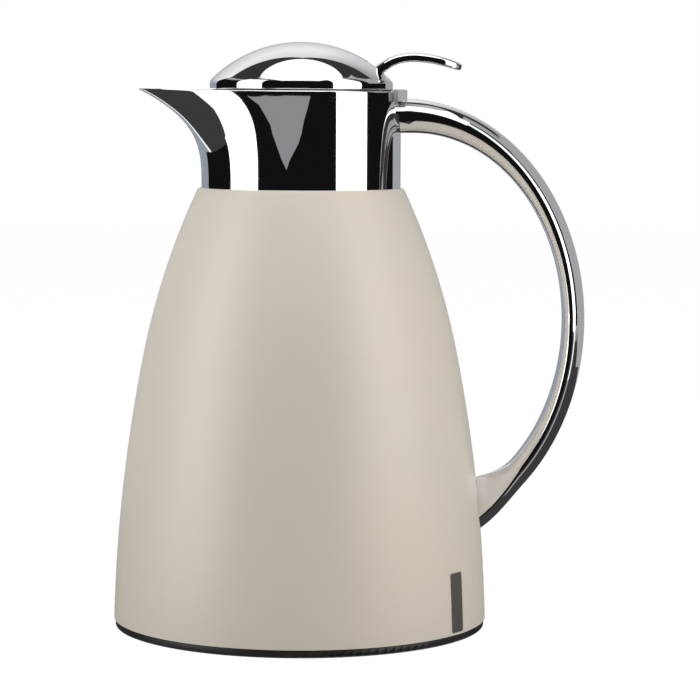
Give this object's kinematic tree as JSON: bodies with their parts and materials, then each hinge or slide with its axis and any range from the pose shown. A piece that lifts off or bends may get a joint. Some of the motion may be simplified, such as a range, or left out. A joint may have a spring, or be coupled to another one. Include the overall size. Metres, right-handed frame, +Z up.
{
  "type": "thermal carafe",
  "caption": "Insulated serving carafe with a bell-shaped lacquered shell, chromed spout collar, C-shaped handle and a lift-off domed lid whose thumb lever opens the pouring valve.",
  "frame": {"origin": "centre of the foot ring's underside, on the table", "axes": "+Z up along the carafe's axis, spout towards -X, handle towards +X"},
  "size_m": [0.1966, 0.156, 0.2434],
  "materials": {
    "cream_lacquer": "satin lacquer",
    "bright_chrome": "polished",
    "black_plastic": "fine satin",
    "dark_rubber": "matt",
    "silvered_glass": "silvered on the vacuum side",
    "plain_steel": "bright"
  },
  "bodies": {
    "carafe": {"outer_shell": "cream_lacquer", "foot_ring": "black_plastic", "base_cap": "black_plastic", "flask_cushion": "dark_rubber", "flask_outer_bulb": "silvered_glass", "flask_inner_bulb": "silvered_glass", "neck_seal": "dark_rubber", "neck_insert": "black_plastic", "collar_spout": "bright_chrome", "collar_nut": "black_plastic", "handle": "bright_chrome", "handle_root_screws": "plain_steel", "handle_foot_screw": "plain_steel"},
    "lid": {"lid_dome": "bright_chrome", "lid_carrier": "black_plastic", "stopper_cup": "black_plastic", "stopper_seal": "dark_rubber", "carrier_screws": "plain_steel", "lever_pin": "plain_steel", "valve_spring": "plain_steel"},
    "lever": {"thumb_lever": "bright_chrome"},
    "valve": {"valve_stem": "plain_steel", "valve_disc": "black_plastic", "valve_seal": "dark_rubber", "stem_cap": "plain_steel"}
  },
  "joints": [
    {"name": "lid_lift", "type": "slide", "parent": "carafe", "child": "lid", "axis": [0, 0, 1], "range_m": [0, 0.12]},
    {"name": "lever_press", "type": "hinge", "parent": "lid", "child": "lever", "pos_m": [0.025, 0, 0.227], "axis": [0, 1, 0], "range_deg": [0, 14], "stiffness_Nm_per_rad": 0.44, "springref_deg": -28.07},
    {"name": "valve_lift", "type": "slide", "parent": "lid", "child": "valve", "axis": [0, 0, 1], "range_m": [0, 0.0067], "deforming": ["valve_spring"]}
  ],
  "couplings": [
    {"joint": "valve_lift", "follows": "lever_press", "m_per_rad": 0.027}
  ]
}
